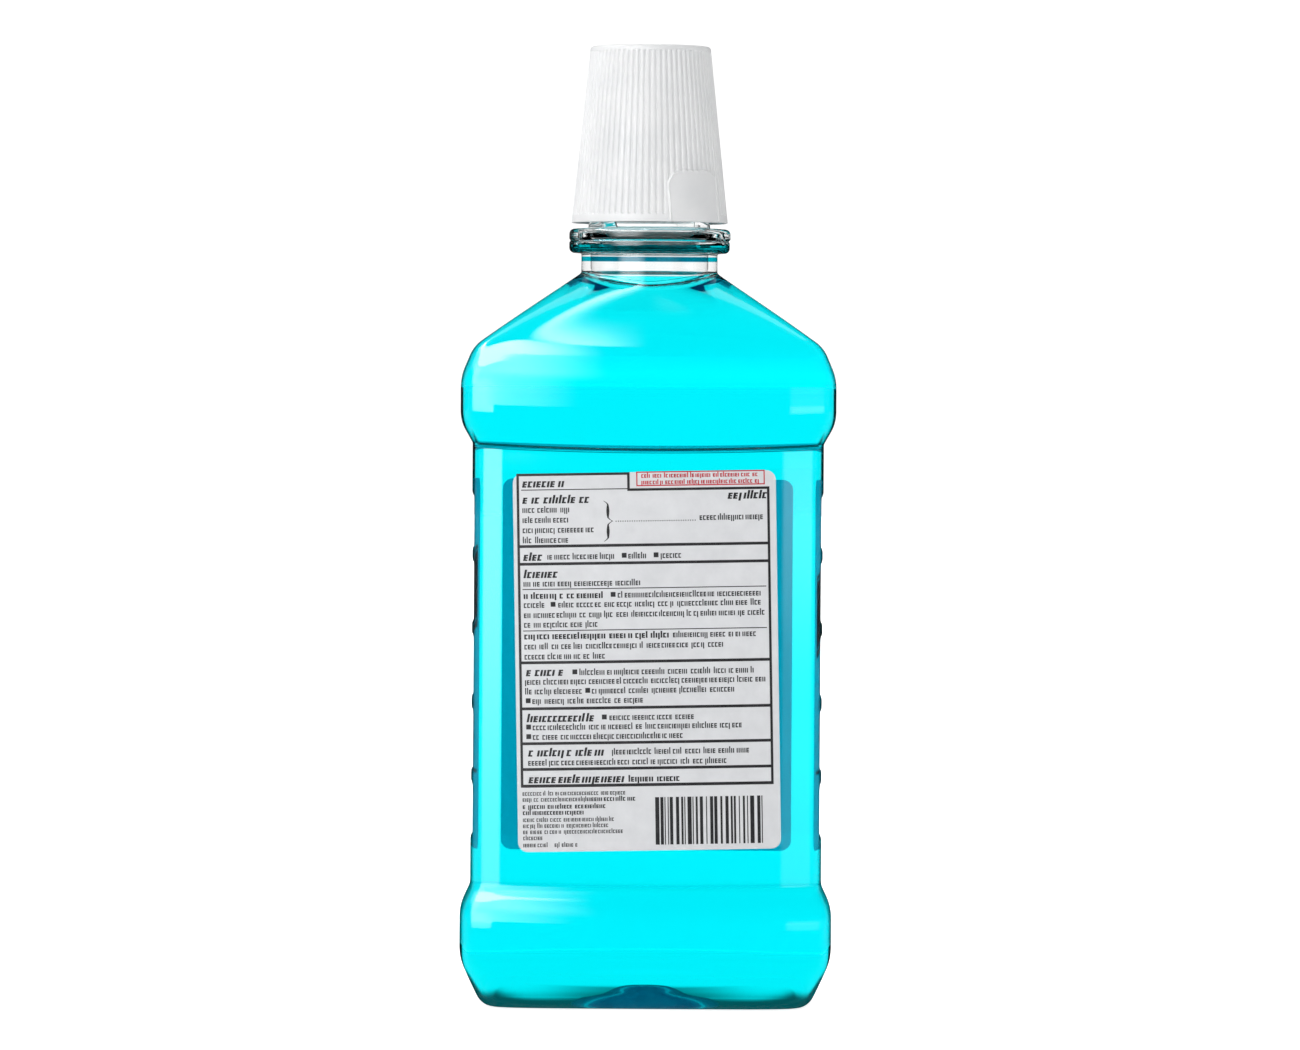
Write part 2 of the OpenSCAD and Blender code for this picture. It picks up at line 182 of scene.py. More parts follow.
def arc(cx, cz, r, a0, a1, steps):
    """Points of a small corner arc in the (radius, height) plane, degrees."""
    turns = [math.radians(a0 + (a1 - a0) * s / steps) for s in range(steps + 1)]
    return [(cx + r * math.cos(a), cz + r * math.sin(a)) for a in turns]


# The body's outline
def inside(by):
    return HALF_W - by, HALF_D - by


def knot(half, z, square, dip=0.0, blend=0.0):
    """Half sizes, height, squareness, dip in the middle of the wide faces and corner rounding.
    The squareness is kept as its logarithm, so that it fades evenly from knot to knot."""
    return [half[0], half[1], z, math.log(square), dip, blend]


OUTLINE = [
    knot((0.4, 0.4), ARCH_Z, ROUND),
    knot((6.5, 6.5), 7.9, ROUND, 0, 2.5),
    knot((11.0, 11.0), 5.5, ROUND, 0, 2.0),
    knot(ARCH_EDGE, 1.0, 4.5, 0, 2.6),
    knot(inside(LOWER_IN + FOOT_IN + 6.0), 0.0, FOOT_SQUARE, 0, 0.8),
    knot(inside(LOWER_IN + FOOT_IN), 0.0, FOOT_SQUARE, 0, 4.0),
    knot(inside(LOWER_IN), BAND_Z, SQUARE, 0, 3.0),
    knot(inside(LOWER_IN), GROOVE_Z, SQUARE, GROOVE_DIP, 3.0),
    knot(inside(PANEL_IN), PANEL_Z, SQUARE, GROOVE_DIP, 1.2),
    knot(inside(PANEL_IN), WAIST_Z, SQUARE, WAIST_DIP, 0.5),
    knot((HALF_W - PANEL_IN, HALF_D - PANEL_IN + LEDGE), WAIST_Z + LEDGE_H, SQUARE, WAIST_DIP, 0.3),
    knot(inside(0), UPPER_Z, SQUARE, WAIST_DIP, 3.0),
    knot(inside(0), BEVEL_Z, SQUARE, 0, 3.0),
    knot(inside(SHOULDER_IN), SHOULDER_Z, SQUARE, 0, 3.0),
    knot((NECK_R, NECK_R), NECK_Z, ROUND, NECK_DIP, 1.5),
    knot((NECK_R, NECK_R), NECK_Z + 0.8, ROUND),
]


def gap(p, q):
    return math.dist(p[:3], q[:3])


def rounded(knots, steps):
    """Each knot with a rounding becomes a small curve between points on the lines beside it."""
    out = []
    for i, k in enumerate(knots):
        if k[5] <= 0:
            out.append(k)
            continue
        before, after = knots[i - 1], knots[i + 1]
        a = mix(k, before, min(k[5] / gap(k, before), 0.45))
        b = mix(k, after, min(k[5] / gap(k, after), 0.45))
        for s in range(steps + 1):
            t = s / steps
            parts = (1 - t) ** 2, 2 * t * (1 - t), t * t
            out.append([x * parts[0] + y * parts[1] + z * parts[2] for x, y, z in zip(a, k, b)])
    return out


def filled(knots, longest):
    """Knots with more put in between, so that no stretch is longer than that."""
    out = [knots[0]]
    for k in knots[1:]:
        last = out[-1]
        n = max(1, math.ceil(gap(last, k) / longest))
        out += [mix(last, k, s / n) for s in range(1, n + 1)]
    return out


def thinned(knots, by):
    """The outline moved inwards along its own normal."""
    out = []
    for i, k in enumerate(knots):
        a, b = knots[max(i - 1, 0)], knots[min(i + 1, len(knots) - 1)]
        run = math.hypot(b[0] - a[0], b[2] - a[2])
        side = by * (a[2] - b[2]) / run
        up = by * (b[0] - a[0]) / run
        out.append([k[0] + side, k[1] + side, k[2] + up, k[3], k[4], k[5]])
    return out


def body_knots():
    """The rounded outline, with the steps closest together on the panel and its grips."""
    out = []
    knots = rounded(OUTLINE, FINE)
    for a, b in zip(knots, knots[1:]):
        on_panel = a[2] > PANEL_Z - 1 and b[2] < WAIST_Z + 1 and b[2] - a[2] > 30
        longest = (0.85) if on_panel else (2.2)
        part = filled([a, b], longest)
        out += part[1:] if out else part
    return out


BODY = body_knots()


def below_neck(by, narrowest):
    """The outline moved inwards, up to where the neck begins."""
    return [k for k in thinned(BODY, by) if k[0] > narrowest or k[2] < MID_Z]


def turn_list():
    """Angles of the section's points, closer together near the corners."""
    side = AROUND // 8
    corner = math.pi / 4
    quarter = [corner * (1 - (1 - i / side) ** CROWDING) for i in range(side)]
    quarter += [corner * (1 + (i / side) ** CROWDING) for i in range(side)]
    half = quarter + [math.pi / 2] + [math.pi - a for a in reversed(quarter[1:])]
    return half + [a + math.pi for a in half]


TURNS = turn_list()

# The grips: a recess in each narrow side with four bars in it; depth, half height and fade
RECESS = (1.2, 47.0, 2.8)
BAR = (1.1, 3.45, 2.2)
BARS = [MID_Z + (i - 1.5) * 20.0 for i in range(4)]
RECESS_SHARE, RECESS_FADE = 0.826, 0.25


def ramp(z, middle, depth, half, fade):
    return depth * smooth((half - abs(z - middle)) / fade)


def recess(z):
    return ramp(z, MID_Z, *RECESS) - max(ramp(z, m, *BAR) for m in BARS)


def crown(square):
    """How much of the crown of the faces and sides there is; none where the section is round."""
    return (square - 2) / (SQUARE - 2)


def section(k):
    """The ring of points at a knot: a crowned superellipse with the recess and the dip."""
    w, d, z, log_n, dip, _ = k
    n = math.exp(log_n)
    depth = recess(z)
    ring = []
    for a in TURNS:
        c, s = math.cos(a), math.sin(a)
        r = (abs(c) ** n + abs(s) ** n) ** (-1 / n)
        u, v = r * c, r * s
        x = w * u * (1 - SIDE_CROWN * crown(n) * v * v)
        y = d * v * (1 - CROWN * crown(n) * u * u)
        if depth:
            x -= math.copysign(depth * smooth((RECESS_SHARE - abs(v)) / RECESS_FADE), c)
        ring.append((x, y, z - dip * (1 - u * u)))
    return ring


# The bottle: one closed wall
def lug_height(a):
    """Height of the lock lugs over the ring at an angle."""
    deg = math.degrees(a)
    h = 0.0
    for turn in (0, 180):
        d = (deg - (PAD_TURN + 90 + turn) + 180) % 360 - 180
        full = smooth((LUG_HALF + 0.6 - abs(d)) / 1.2)
        low = smooth((d - LUG_HALF + 2) / 1.2) * smooth((LOW_LUG_END + 0.6 - d) / 1.2)
        h = max(h, LUG_H * full, LOW_LUG_H * low)
    return h


def thread(a, z, bead, start, turns):
    """How far the thread stands out at that angle and height. Both of its ends fade out."""
    best = 0.0
    for k in range(int(turns) + 2):
        phi = a + 2 * math.pi * k
        share = phi / (2 * math.pi * turns)
        if share > 1:
            continue
        ends = smooth(share / 0.07) * smooth((1 - share) / 0.07)
        t = abs(z - (RING_TOP + start + LEAD * phi / (2 * math.pi)))
        best = max(best, ends * smooth((1.15 - t) / 0.8))
    return bead * best


def ring_r(a, z):
    """Radius of the neck ring: a fine groove, and lock teeth at both ends of its width."""
    r = RING_R - 0.35 * smooth(1 - abs(z - RING_Z - 3.3) / 0.5)
    deg = (math.degrees(a) + 180) % 360 - 180
    low = smooth((RING_Z + 3.5 - z) / 0.6)
    left = smooth((26 - abs(abs(deg) - 172)) / 4)
    right = smooth((20 - abs(deg + 6)) / 4) * low
    saw = (deg / 6.5) % 1.0
    return r - 0.75 * max(left, right) * (1 - saw)


def on_ring(r, z):
    """A circle of the neck ring. Its groove and teeth fade out towards the middle."""
    fade = 2.4
    share = (r - (RING_R - fade)) / fade
    return circle(lambda a: r + (ring_r(a, z) - RING_R) * share, z)


def lug_top(share):
    return lambda a: RING_TOP + 0.001 + share * lug_height(a)


def neck_rings():
    """From the body up to the lip on the outside, and down the bore again."""
    steps, up, around = ((5, 7, 16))
    start, root, edge = NECK_Z + 0.8, RING_Z - 0.6, RING_R - RING_ROUND
    out = [circle(NECK_R, start + (root - start) * s / up) for s in range(1, up + 1)]
    out += circles(arc(NECK_R + 0.6, root, 0.6, 180, 90, steps))
    low, high = RING_Z + RING_ROUND, RING_TOP - RING_ROUND
    ring = arc(edge, low, RING_ROUND, -90, 0, steps + 1)
    ring += [(RING_R, low + (high - low) * s / around) for s in range(1, around)]
    ring += arc(edge, high, RING_ROUND, 0, 90, steps + 1)
    out += [on_ring(r, z) for r, z in ring]
    lug = ((18.9, 0.0), (18.86, 0.94), (18.74, 1.0), (18.21, 1.0), (18.09, 0.94), (18.05, 0.0))
    out.append(circle(18.95, RING_TOP))
    out += circles([(r, lug_top(share)) for r, share in lug])
    out.append(circle(18.0, RING_TOP))
    out += circles(arc(SEAT_R + 0.5, RING_TOP + 0.5, 0.5, 270, 180, steps))
    step = ((SEAT_R, 2.9), (SEAT_R - 0.3, 3.2), (FINISH_R + 0.25, 3.25), (FINISH_R, 3.5))
    out += circles([(r, RING_TOP + rise) for r, rise in step])
    z = RING_TOP + 3.8
    while z < LIP_Z - 0.8:
        out.append(circle(lambda a, z=z: FINISH_R + thread(a, z, *NECK_THREAD), z))
        z += 0.3
    lip = LIP_Z - LIP_ROUND
    out += circles(arc(FINISH_R - LIP_ROUND, lip, LIP_ROUND, 0, 90, steps))
    out += circles(arc(MOUTH_R + LIP_ROUND, lip, LIP_ROUND, 90, 180, steps))
    out += [circle(MOUTH_R, lip - (lip - RING_TOP - 0.3) * s / 7) for s in range(1, 8)]
    bore = [(MOUTH_R, RING_TOP), (BORE_R, RING_Z + 0.4)]
    bore += [(BORE_R, NECK_Z + 0.5), (BORE_R + 0.5, NECK_Z - 0.9)]
    for (r0, z0), (r1, z1) in zip(bore, bore[1:]):
        for s in range(1, 6):
            t = s / 5
            out.append(circle(r0 + (r1 - r0) * smooth(t), z0 + (z1 - z0) * t))
    return out


def bottle_shell():
    """The wall. Faces on its wet inner side get the second material."""
    outer = [section(k) for k in BODY]
    inner = [section(k) for k in reversed(below_neck(WALL, 19.0))]
    foot = circle(BORE_R + 0.9, lambda a: NECK_Z - 1.9 - 0.75 * NECK_DIP * math.sin(a) ** 2)
    dry = outer + neck_rings() + [foot]
    verts, faces = loft(dry + inner, (0, 0, ARCH_Z), (0, 0, ARCH_Z + WALL))
    obj = mesh_object("bottle_shell", verts, faces, sharp=55)
    first_wet, inner_pole = len(dry) * len(foot), len(verts) - 1
    wet = [min(f) >= first_wet and (max(f) < inner_pole - 1 or inner_pole in f) for f in faces]
    obj.data.polygons.foreach_set("material_index", [int(w) for w in wet])
    return obj


bottle = bottle_shell()


def gate_haze_mesh():
    """The cloudy thick plastic of the raised arch: a thin plate inside the wall, which also glows
    blue as painted light that brightens the base.
    """
    arch = next(i for i, k in enumerate(BODY) if k[0] > ARCH_EDGE[0] - 0.1)
    low, high = ([section(k) for k in thinned(BODY, by)[:arch]] for by in (HAZE_FROM, HAZE_TO))
    return loft(low + high[::-1], (0, 0, ARCH_Z + HAZE_FROM), (0, 0, ARCH_Z + HAZE_TO))


gate_haze = mesh_object("bottle_gate_haze", *gate_haze_mesh(), sharp=55)


def liquid_mesh():
    """The liquid, up to a level surface with a raised edge where it wets the neck."""
    knots = below_neck(WALL - INTO_WALL, 18.9)
    knots.append(knot((17.6, 17.6), NECK_Z - 0.6, ROUND, NECK_DIP))
    knots.append(knot((17.3, 17.3), NECK_Z + 1.0, ROUND))
    rings = [[(x, y, min(z, SURFACE_Z)) for x, y, z in section(k)] for k in knots]
    surface = ((16.9, 0.02), (16.0, -0.12), (15.0, -0.16), (8.0, -0.16))
    rings += circles([(r, SURFACE_Z + rise) for r, rise in surface])
    return loft(rings, (0, 0, ARCH_Z + WALL - INTO_WALL), (0, 0, SURFACE_Z - 0.16))


liquid = mesh_object("liquid_fill", *liquid_mesh(), sharp=55)

# Labels: the rear one faces the camera, which looks along +Y. The film and the ink have an inner
# and an outer face, as distances from the panel.
REAR, FRONT = -1, 1
REAR_W, FRONT_W, LABEL_H, LABEL_CORNER = 70.6, 76.2, 101.6, 2.6
LABEL_MID, FRONT_DROP, REAR_TILT = MID_Z + 1.8, 2.2, 1.2
FILM, INK = (0.04, 0.19), (0.17, 0.205)


def panel_y(x, out):
    half = (HALF_W - PANEL_IN + out, HALF_D - PANEL_IN + out)
    share = min(abs(x) / half[0] / (1 - SIDE_CROWN), 0.999)
    return half[1] * (1 - share**SQUARE) ** (1 / SQUARE) * (1 - CROWN * share**2)


def turned(u, v, tilt):
    c, s = math.cos(math.radians(tilt)), math.sin(math.radians(tilt))
    return u * c - v * s, u * s + v * c


def on_label(u, v, out, facing, tilt):
    """A point given across and up the label, seen from outside, to the row frame."""
    x, z = turned(u, v, tilt)
    y = panel_y(x, out)
    return (x, -y, LABEL_MID + z) if facing < 0 else (-x, y, LABEL_MID - FRONT_DROP + z)


def label_mesh(w, facing, tilt):
    """A film with rounded corners, bent on the panel."""
    cols, rows = ((84, 72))
    hv, corner = LABEL_H / 2, LABEL_CORNER
    vs = [-hv + corner * (1 - math.cos(math.pi / 2 * s / 6)) for s in range(7)]
    vs += [-hv + corner + (LABEL_H - 2 * corner) * s / rows for s in range(1, rows)]
    vs += [-v for v in reversed(vs[:7])]
    grid = []
    for v in vs:
        over = max(0.0, abs(v) - (hv - corner))
        hu = w / 2 - corner + math.sqrt(max(corner**2 - over**2, 0.0))
        grid.append([(hu * (2 * c / cols - 1), v) for c in range(cols + 1)])
    verts, faces, n = [], [], cols + 1
    for out in FILM:
        verts += [on_label(u, v, out, facing, tilt) for row in grid for u, v in row]
    m = len(grid)
    top = m * n
    for i in range(m - 1):
        for j in range(cols):
            a, b, c, d = i * n + j, i * n + j + 1, (i + 1) * n + j + 1, (i + 1) * n + j
            faces.append((a, d, c, b))
            faces.append((top + a, top + b, top + c, top + d))
    rim = [(0, j) for j in range(cols)] + [(i, cols) for i in range(m - 1)]
    rim += [(m - 1, j) for j in range(cols, 0, -1)] + [(i, 0) for i in range(m - 1, 0, -1)]
    ids = [i * n + j for i, j in rim]
    for a, b in zip(ids, ids[1:] + ids[:1]):
        faces.append((a, b, top + b, top + a))
    return verts, faces


rear_label = mesh_object("rear_label_film", *label_mesh(REAR_W, REAR, REAR_TILT), sharp=50)
front_label = mesh_object("front_label_film", *label_mesh(FRONT_W, FRONT, 0.0), sharp=50)


class Print:
    """Thin raised ink on a label, from quads in label millimetres."""

    def __init__(self, facing, tilt):
        self.facing, self.tilt = facing, tilt
        self.verts, self.faces = [], []

    def quad(self, corners):
        base = len(self.verts)
        for out in INK:
            self.verts += [on_label(u, v, out, self.facing, self.tilt) for u, v in corners]
        n = len(corners)
        self.faces.append(tuple(base + n + i for i in range(n)))
        for i in range(n):
            k = (i + 1) % n
            self.faces.append((base + i, base + k, base + n + k, base + n + i))

    def mark(self, u, low, wide, high, lean=0.0):
        """A short upright or lying stroke whose upper end leans to the right."""
        self.quad([(u, low), (u + wide, low), (u + wide + lean, high), (u + lean, high)])

    def bar(self, u0, u1, v0, v1):
        """A rectangle, in pieces short enough to follow the bend of the panel."""
        pieces = max(1, math.ceil((u1 - u0) / 3.0))
        for s in range(pieces):
            a, b = u0 + (u1 - u0) * s / pieces, u0 + (u1 - u0) * (s + 1) / pieces
            self.quad([(a, v0), (b, v0), (b, v1), (a, v1)])

    def frame(self, u0, u1, v0, v1, t):
        self.bar(u0, u1, v0, v0 + t)
        self.bar(u0, u1, v1 - t, v1)
        self.bar(u0, u0 + t, v0 + t, v1 - t)
        self.bar(u1 - t, u1, v0 + t, v1 - t)

    def made(self, name):
        return mesh_object(name, self.verts, self.faces, sharp=30)


def words(ink, rng, u0, u1, v, size, weight=0.0, slant=0.0, gap_share=0.34):
    """A line of greeked words: short strokes with no letter shapes. v is the base line."""
    stroke, wide, space = size * (0.17 + weight), size * (0.40 + weight), size * 0.12
    band = min(size * (0.16 + weight * 0.6), size * 0.17)
    u = u0
    while u < u1 - size * 0.5:
        end = min(u + size * rng.choice((0.7, 1.1, 1.5, 1.9, 2.4, 3.1, 3.8)), u1)
        x = u
        while x < end - space:
            tall = rng.random()
            top = size * (0.98 if tall > 0.8 else 0.70)
            low = -size * 0.22 if tall < 0.09 else 0.0
            if rng.random() < 0.5:
                ink.mark(x, v + low, stroke, v + top, slant * (top - low))
                x += stroke + space
            else:
                for s in (0.0, 0.27, 0.54) if rng.random() < 0.5 else (0.0, 0.54):
                    ink.mark(x + slant * s * size, v + s * size, wide, v + s * size + band)
                ink.mark(x, v, stroke, v + size * 0.7, slant * size * 0.7)
                x += wide + space
        u = end + size * gap_share


# Millimetres a pixel of the photograph, and where the rear label's middle is on it
PX = 0.2715
LABEL_X, LABEL_Y = 648.9, 662.6


def photo_uv(x, y):
    """From places read off the photograph to label millimetres."""
    return (x - LABEL_X) * PX, (LABEL_Y - y) * PX


def rear_print():
    """Frames, rules, greeked lines, bullets and stripes, placed as on the photograph."""
    rng = random.Random(11)
    ink, red = Print(REAR, REAR_TILT), Print(REAR, REAR_TILT)

    def box(x0, x1, y0, y1):
        a, b = photo_uv(x0, y1), photo_uv(x1, y0)
        ink.bar(a[0], b[0], a[1], b[1])

    def line(x0, x1, y, size_px, into=ink, **more):
        a, b = photo_uv(x0, y + size_px / 2), photo_uv(x1, y)
        words(into, rng, a[0], b[0], a[1], size_px * PX, **more)

    # the heavy frame, which steps down on the right round the red box
    box(522.5, 525.0, 477, 785)
    box(522.5, 634.5, 475.5, 478)
    box(632.0, 634.5, 478, 494)
    box(632.0, 772.5, 491.5, 494)
    box(770.0, 772.5, 494, 785)
    box(522.5, 772.5, 783, 786)
    for y in (547.5, 565, 662.5, 708, 742.5, 768):
        box(525, 770, y - 1.4, y + 1.4)
    for y in (590, 631):
        box(527, 768, y - 0.45, y + 0.45)
    box(527, 632, 491.3, 492.2)
    # the red box with its two rows
    a, b = photo_uv(641, 489.5), photo_uv(768, 475)
    red.frame(a[0], b[0], a[1], b[1], 0.32)
    for y in (478.8, 485.3):
        line(646, 763, y, 5.0, red, weight=0.05)
    # headings, in a heavy slanted hand
    for x0, x1, y in (
        (528, 572, 485), (528, 594, 501), (731, 766, 499), (528, 546, 557.5), (528, 563, 574.5),
        (529, 566, 671.5), (529, 598, 717), (530, 604, 751), (530, 623, 777.5),
    ):
        line(x0, x1, y, 8.6, weight=0.09, slant=0.2, gap_share=0.3)
    # plain lines
    for x0, x1, y in (
        (528, 579, 511), (528, 573, 521), (528, 597, 531), (528, 571, 541), (703, 767, 520.5),
        (552, 619, 557.5), (632, 651, 557.5), (664, 688, 557.5), (528, 648, 584),
        (621, 762, 596), (528, 549, 605), (562, 762, 605), (528, 766, 615), (528, 604, 624.5),
        (675, 757, 636), (528, 729, 646), (528, 607, 656),
        (582, 759, 672), (528, 767, 681), (528, 583, 690.5), (594, 739, 690.5), (535, 643, 700),
        (611, 693, 717), (535, 742, 726), (535, 683, 735.5), (613, 750, 751), (530, 728, 761),
    ):
        line(x0, x1, y, 6.6)
    for x0, x1, y in ((528, 608, 596), (528, 672, 636), (629, 677, 778)):
        line(x0, x1, y, 6.8, weight=0.07)
    # square bullets
    for x, y in (
        (628, 557.5), (659.5, 557.5), (616.5, 596), (557, 605), (577.5, 672), (590, 690.5),
        (531, 700), (606, 717), (531, 726), (531, 735.5),
    ):
        box(x - 2.4, x + 2.4, y - 2.4, y + 2.4)
    # the brace and its dotted leader
    spine = []
    for s in range(25):
        t = s / 24
        tip = max(0.0, 1 - abs(t - 0.5) / 0.09)
        end = max(0.0, 1 - min(t, 1 - t) / 0.09)
        half = 0.5 + 1.0 * math.sin(math.pi * ((2 * t) % 1.0)) ** 2
        spine.append((612.5 + 4.5 * tip**1.5 - 4.0 * end**1.5, 503.5 + 40 * t, half))
    for (x0, y0, t0), (x1, y1, t1) in zip(spine, spine[1:]):
        corners = ((x1 - t1, y1), (x1 + t1, y1), (x0 + t0, y0), (x0 - t0, y0))
        ink.quad([photo_uv(x, y) for x, y in corners])
    x = 620.0
    while x < 700:
        box(x, x + 0.9, 523.2, 524.3)
        x += 2.3
    # small lines below, and a block of plain stripes
    for x0, x1, y in (
        (524, 629, 791.5), (524, 588, 797.5), (524, 615, 817.5), (524, 611, 823.5),
        (524, 627, 829.5), (524, 546, 835.5), (524, 548, 842.5), (555, 578, 842.5),
    ):
        line(x0, x1, y, 4.9)
    for x0, x1, y in ((590, 634, 797.5), (524, 606, 804.5), (524, 585, 810.5)):
        line(x0, x1, y, 5.2, weight=0.06)
    x = 655.0
    while x < 761:
        w = rng.choice((1.0, 1.0, 2.0, 2.0, 3.1, 4.0))
        box(x, min(x + w, 762), 797, 844)
        x += w + rng.choice((1.0, 1.1, 2.1, 3.0))
    return ink.made("rear_label_ink"), red.made("rear_label_red_ink")


rear_ink, rear_red = rear_print()


def front_print():
    """Plain bands and short greeked lines, with no name or sign."""
    rng = random.Random(5)
    dark, pale = Print(FRONT, 0), Print(FRONT, 0)

    def wave(into, v_low, v_high, rise):
        half, cols = 33.5, 40
        for c in range(cols):
            ends = []
            for k in (c, c + 1):
                bend = rise * math.sin(math.pi * (k / cols - 0.5))
                ends.append((-half + 2 * half * k / cols, v_low + bend, v_high + bend))
            (u0, a0, b0), (u1, a1, b1) = ends
            into.quad([(u0, a0), (u1, a1), (u1, b1), (u0, b0)])

    wave(pale, 6.0, 8.2, 4.0)
    wave(dark, 8.6, 27.0, 4.0)
    wave(pale, 27.4, 28.6, 4.0)
    wave(pale, -30.0, -29.0, 0.0)
    for v, half in ((-12.0, 22.0), (-16.5, 18.0), (-21.0, 20.0)):
        words(pale, rng, -half, half, v, 2.6, weight=0.03)
    for v, half in ((-36.5, 14.0), (-40.5, 10.0)):
        words(pale, rng, -half, half, v, 2.0)
    return dark.made("front_label_dark_ink"), pale.made("front_label_pale_ink")


front_dark, front_pale = front_print()


# Cap shell
def cap_r(z):
    return CAP_RIM_D / 2 - (z - RIM_Z) * TAPER


def pad_share(a, z):
    """1 on a squeeze pad, 0 off it, with the pad's rounded upper corners."""
    best = 0.0
    for turn in (0, 180):
        d = (math.degrees(a) - PAD_TURN - turn + 180) % 360 - 180
        if abs(d) > 40:
            continue
        u = abs(math.sin(math.radians(d)) * cap_r(z)) - (PAD_HALF - PAD_CORNER)
        v = (z - RIM_Z) - (PAD_H - PAD_CORNER)
        dist = math.hypot(max(u, 0), max(v, 0)) + min(max(u, v), 0) - PAD_CORNER
        best = max(best, smooth(-dist / 0.7 + 0.5))
    return best


def rib_r(a, z):
    """Radius of the cap's outside: grooves between the ribs, and pads with a raised edge."""
    r = cap_r(z)
    up = z - RIM_Z
    live = smooth((up - 2.0) / 0.5) * smooth((CAP_H - 1.3 - up) / 0.4)
    phase = (a / (2 * math.pi) * RIBS) % 1.0
    off = abs(phase - 0.5) * 2 * math.pi * r / RIBS
    dip = RIB_DEPTH * smooth((0.52 - off) / 0.36)
    pad = pad_share(a, z)
    edge = 4 * pad * (1 - pad)
    return r - dip * live * (1 - pad) + 0.16 * pad + 0.46 * edge


def cap_mesh():
    """Outside, from the rim up: plain rim, ribs and pads in fine steps, ribs, edge and top."""
    n = 700
    ups = [0.35, 0.7, 1.2, 1.8, 2.0, 2.15, 2.3, 2.5]
    up = 2.8
    while up < 15.2:
        ups.append(up)
        up += 0.3
    while up < 46.2:
        ups.append(up)
        up += 1.7
    ups += [46.35, 46.5, 46.65, 46.75]
    rings = circles([(cap_r(RIM_Z) - 0.3, RIM_Z), (cap_r(RIM_Z) - 0.08, RIM_Z + 0.08)], n)
    rings += [circle(lambda a, z=RIM_Z + up: rib_r(a, z), RIM_Z + up, n) for up in ups]
    edge = CAP_TOP - 1.0
    rings += circles(arc(cap_r(edge) - 1.0, edge, 1.0, 0, 90, 6), n)
    # the top is sunk a little, with a gate mark in its middle
    top = [(13.5, 0.0), (11.0, 0.0), (10.9, 0.12), (5.0, 0.14)]
    top += [(1.25, 0.14), (1.1, 0.3), (0.4, 0.34)]
    rings += circles([(r, CAP_TOP - sunk) for r, sunk in top], n)
    outer = loft(rings, None, (0, 0, CAP_TOP - 0.34))
    inner = [circle(cap_r(RIM_Z) - CAP_WALL + 0.1, RIM_Z, n)]
    inner.append(circle(cap_r(RIM_Z) - CAP_WALL, RIM_Z + 0.1, n))
    for s in range(1, 15):
        z = RIM_Z + 0.1 + (CAP_CEILING - RIM_Z - 0.4) * s / 14
        inner.append(circle(cap_r(z) - CAP_WALL, z, n))
    inner.append(circle(cap_r(CAP_CEILING) - CAP_WALL - 0.3, CAP_CEILING, n))
    verts, faces = loft(inner, None, (0, 0, CAP_CEILING))
    verts, faces = join(outer, (verts, [tuple(reversed(f)) for f in faces]))
    first = len(outer[0])
    for j in range(n):
        k = (j + 1) % n
        faces.append((k, j, first + j, first + k))
    return verts, faces


def tab_mesh():
    """Two ramps inside the rim that stop behind the lugs."""
    tab, clear = 9, 2
    parts = []
    for turn in (0, 180):
        start = PAD_TURN + 90 + turn - LUG_HALF - tab - clear
        rings = []
        for s in range(13):
            a = math.radians(start + tab * s / 12)
            end = smooth(min(s, 12 - s) / 1.5 + 0.15)
            r0, r1 = 19.2 + 0.5 * (1 - end), 20.4
            z0, z1 = RIM_Z + 1.0, RIM_Z + 4.0 - 0.6 * (1 - end)
            corners = ((r0, z0), (r1, z0), (r1, z1), (r0 + 0.2, z1), (r0, z1 - 0.3))
            rings.append([(r * math.cos(a), r * math.sin(a), z) for r, z in corners])
        n = len(rings[0])
        verts, faces = loft(rings)
        faces.append(tuple(range(n)))
        faces.append(tuple(reversed(range(12 * n, 13 * n))))
        parts.append((verts, faces))
    return join(*parts)


cap = mesh_object("cap_ribbed_shell", *join(cap_mesh(), tab_mesh()), sharp=50)


# Dosing cup, sealing ring and foil
def cup_mesh():
    """The cup's inside, its ledge, the threaded skirt, the skirt's foot and outside, the wall."""
    skirt, outside = SEAT_R + 0.3, SEAT_R + 1.5
    ledge = LIP_Z + 0.2 + 0.15 + 1.0 + 0.1
    top, narrow, wide, fill_line = CAP_CEILING - 1.2, 12.6, 14.7, 236.5
    profile = [(narrow - 1.0, top), (narrow - 0.3, top - 0.15), (narrow, top - 1.0)]
    for s in range(1, 12):
        z = top - 1.0 - (top - 1.0 - ledge - 0.4) * s / 11
        profile.append((narrow + 1.0 * s / 11 - 0.22 * smooth(1 - abs(z - fill_line) / 1.2), z))
    profile += [(13.75, ledge + 0.05), (14.2, ledge), (skirt - 0.3, ledge), (skirt, ledge - 0.4)]
    z = ledge - 0.8
    while z > RIM_Z + 2.4:
        profile.append((lambda a, z=z: skirt - thread(a, z, *CUP_THREAD), z))
        z -= 0.3
    low = RIM_Z + 1.6
    profile += [(skirt, low + 0.3), (skirt + 0.25, low)]
    profile += [(outside - 0.25, low), (outside, low + 0.3)]
    profile += [(outside, z) for z in (low + 4, low + 8, low + 12, ledge + 0.9)]
    profile += [(outside - 0.3, ledge + 1.2), (wide + 0.4, ledge + 1.2), (wide, ledge + 1.7)]
    for s in range(1, 10):
        z = ledge + 1.7 + (CAP_CEILING - ledge - 2.0) * s / 9
        profile.append((wide - 1.0 * s / 9, z))
    profile.append((13.3, CAP_CEILING))
    rings = [list(reversed(r)) for r in circles(profile, TURNED)]
    return loft(rings, (0, 0, top), (0, 0, CAP_CEILING))


cup = mesh_object("dosing_cup_wall", *cup_mesh(), sharp=50)


def liner_mesh():
    """A flat ring with four rounded edges."""
    profile = []
    for r, up, a in ((15.9, 0.3, -90), (15.9, 0.7, 0), (14.05, 0.7, 90), (14.05, 0.3, 180)):
        profile += arc(r, LIP_Z + 0.35 + up, 0.3, a, a + 90, 4)
    return closed_loft(circles(profile, TURNED))


